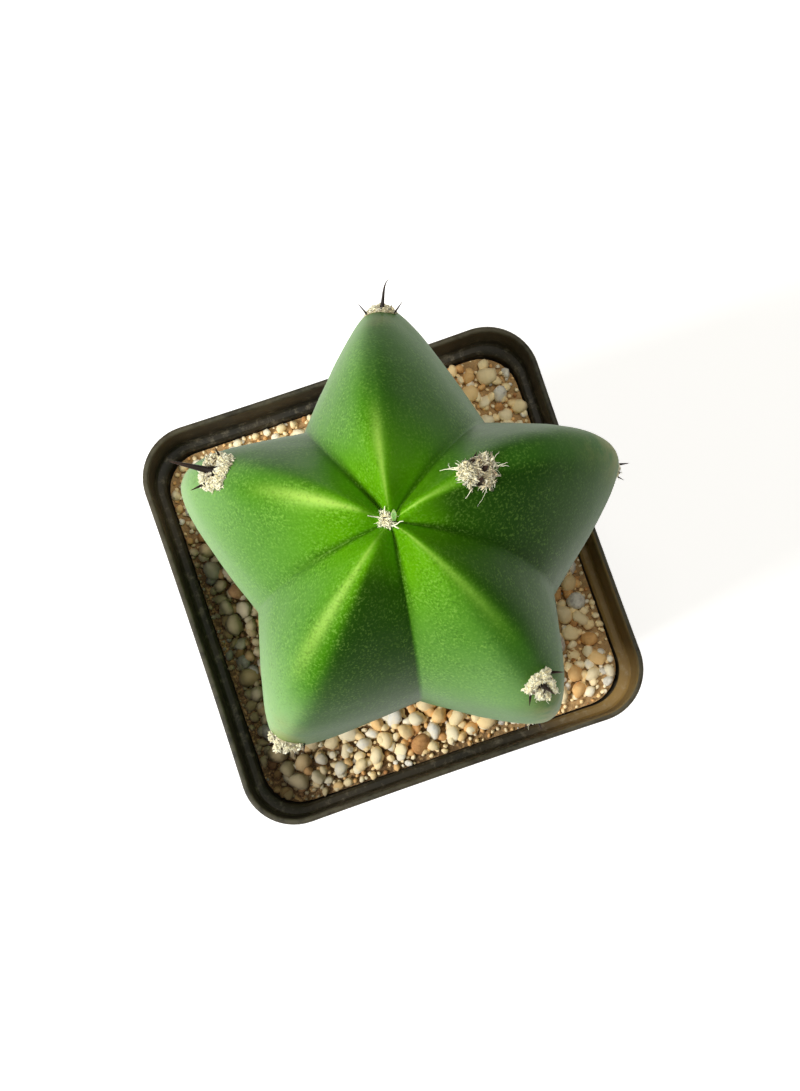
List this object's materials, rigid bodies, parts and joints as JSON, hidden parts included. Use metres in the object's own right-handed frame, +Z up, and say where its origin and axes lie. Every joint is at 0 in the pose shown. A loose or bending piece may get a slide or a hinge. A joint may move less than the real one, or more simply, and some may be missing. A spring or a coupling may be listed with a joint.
{
  "type": "potted columnar cactus",
  "caption": "Young columnar cactus with broad star-shaped ribs, woolly areoles and short dark spines, growing in gritty mix in a square tapered nursery pot.",
  "frame": {"origin": "middle of the pot's underside, on the surface that it stands on", "axes": "+Z up along the stem; the pot's sides are square to X and Y; one rib of the stem points roughly along +X"},
  "size_m": [0.0818, 0.0782, 0.1463],
  "materials": {
    "pot": "moulded brownish-black plastic, satin, a little dusty, with a paler worn line along the rim",
    "grit": "loose gritty stones in cream, tan, brown and grey, dry and matt, with dark gaps",
    "cactus": "smooth waxy skin, bright green at the apex and in the furrows, with a pale bluish bloom further out; cream wool and near-black spines in the areoles"
  },
  "bodies": {
    "root": {"pot": "pot", "grit": "grit", "cactus": "cactus"}
  },
  "joints": []
}
